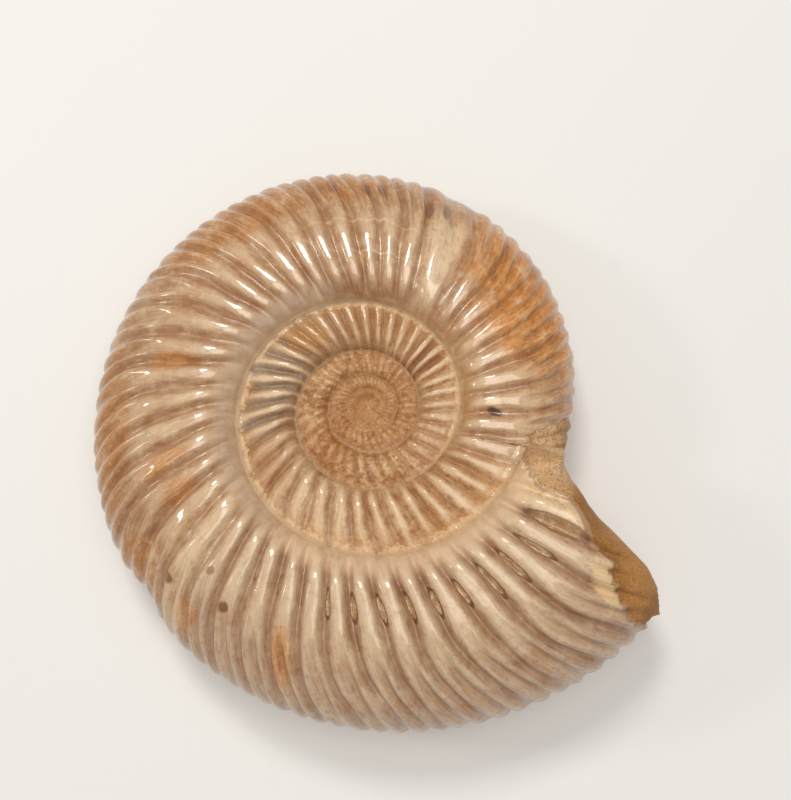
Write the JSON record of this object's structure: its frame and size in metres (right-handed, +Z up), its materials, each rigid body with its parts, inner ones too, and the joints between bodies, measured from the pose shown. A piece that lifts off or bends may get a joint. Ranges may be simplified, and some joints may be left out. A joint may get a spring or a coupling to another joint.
{
  "type": "polished perisphinctes ammonite fossil",
  "caption": "Polished fossil ammonite lying on its side: an evolute ribbed spiral shell turned to stone, with a broken mouth showing brown stone infill.",
  "frame": {"origin": "middle of the outline seen from above, on the surface that the fossil lies on", "axes": "+Z up from that surface; seen from above with +X to the right and +Y to the top, the coil grows counter-clockwise and its mouth is at the lower right"},
  "size_m": [0.0734, 0.0742, 0.0245],
  "materials": {
    "polished_fossil_shell": "glossy polished calcite in cream, pinkish beige and orange brown, with matt golden brown infill at the broken mouth"
  },
  "bodies": {
    "root": {"ammonite": "polished_fossil_shell"}
  },
  "joints": []
}
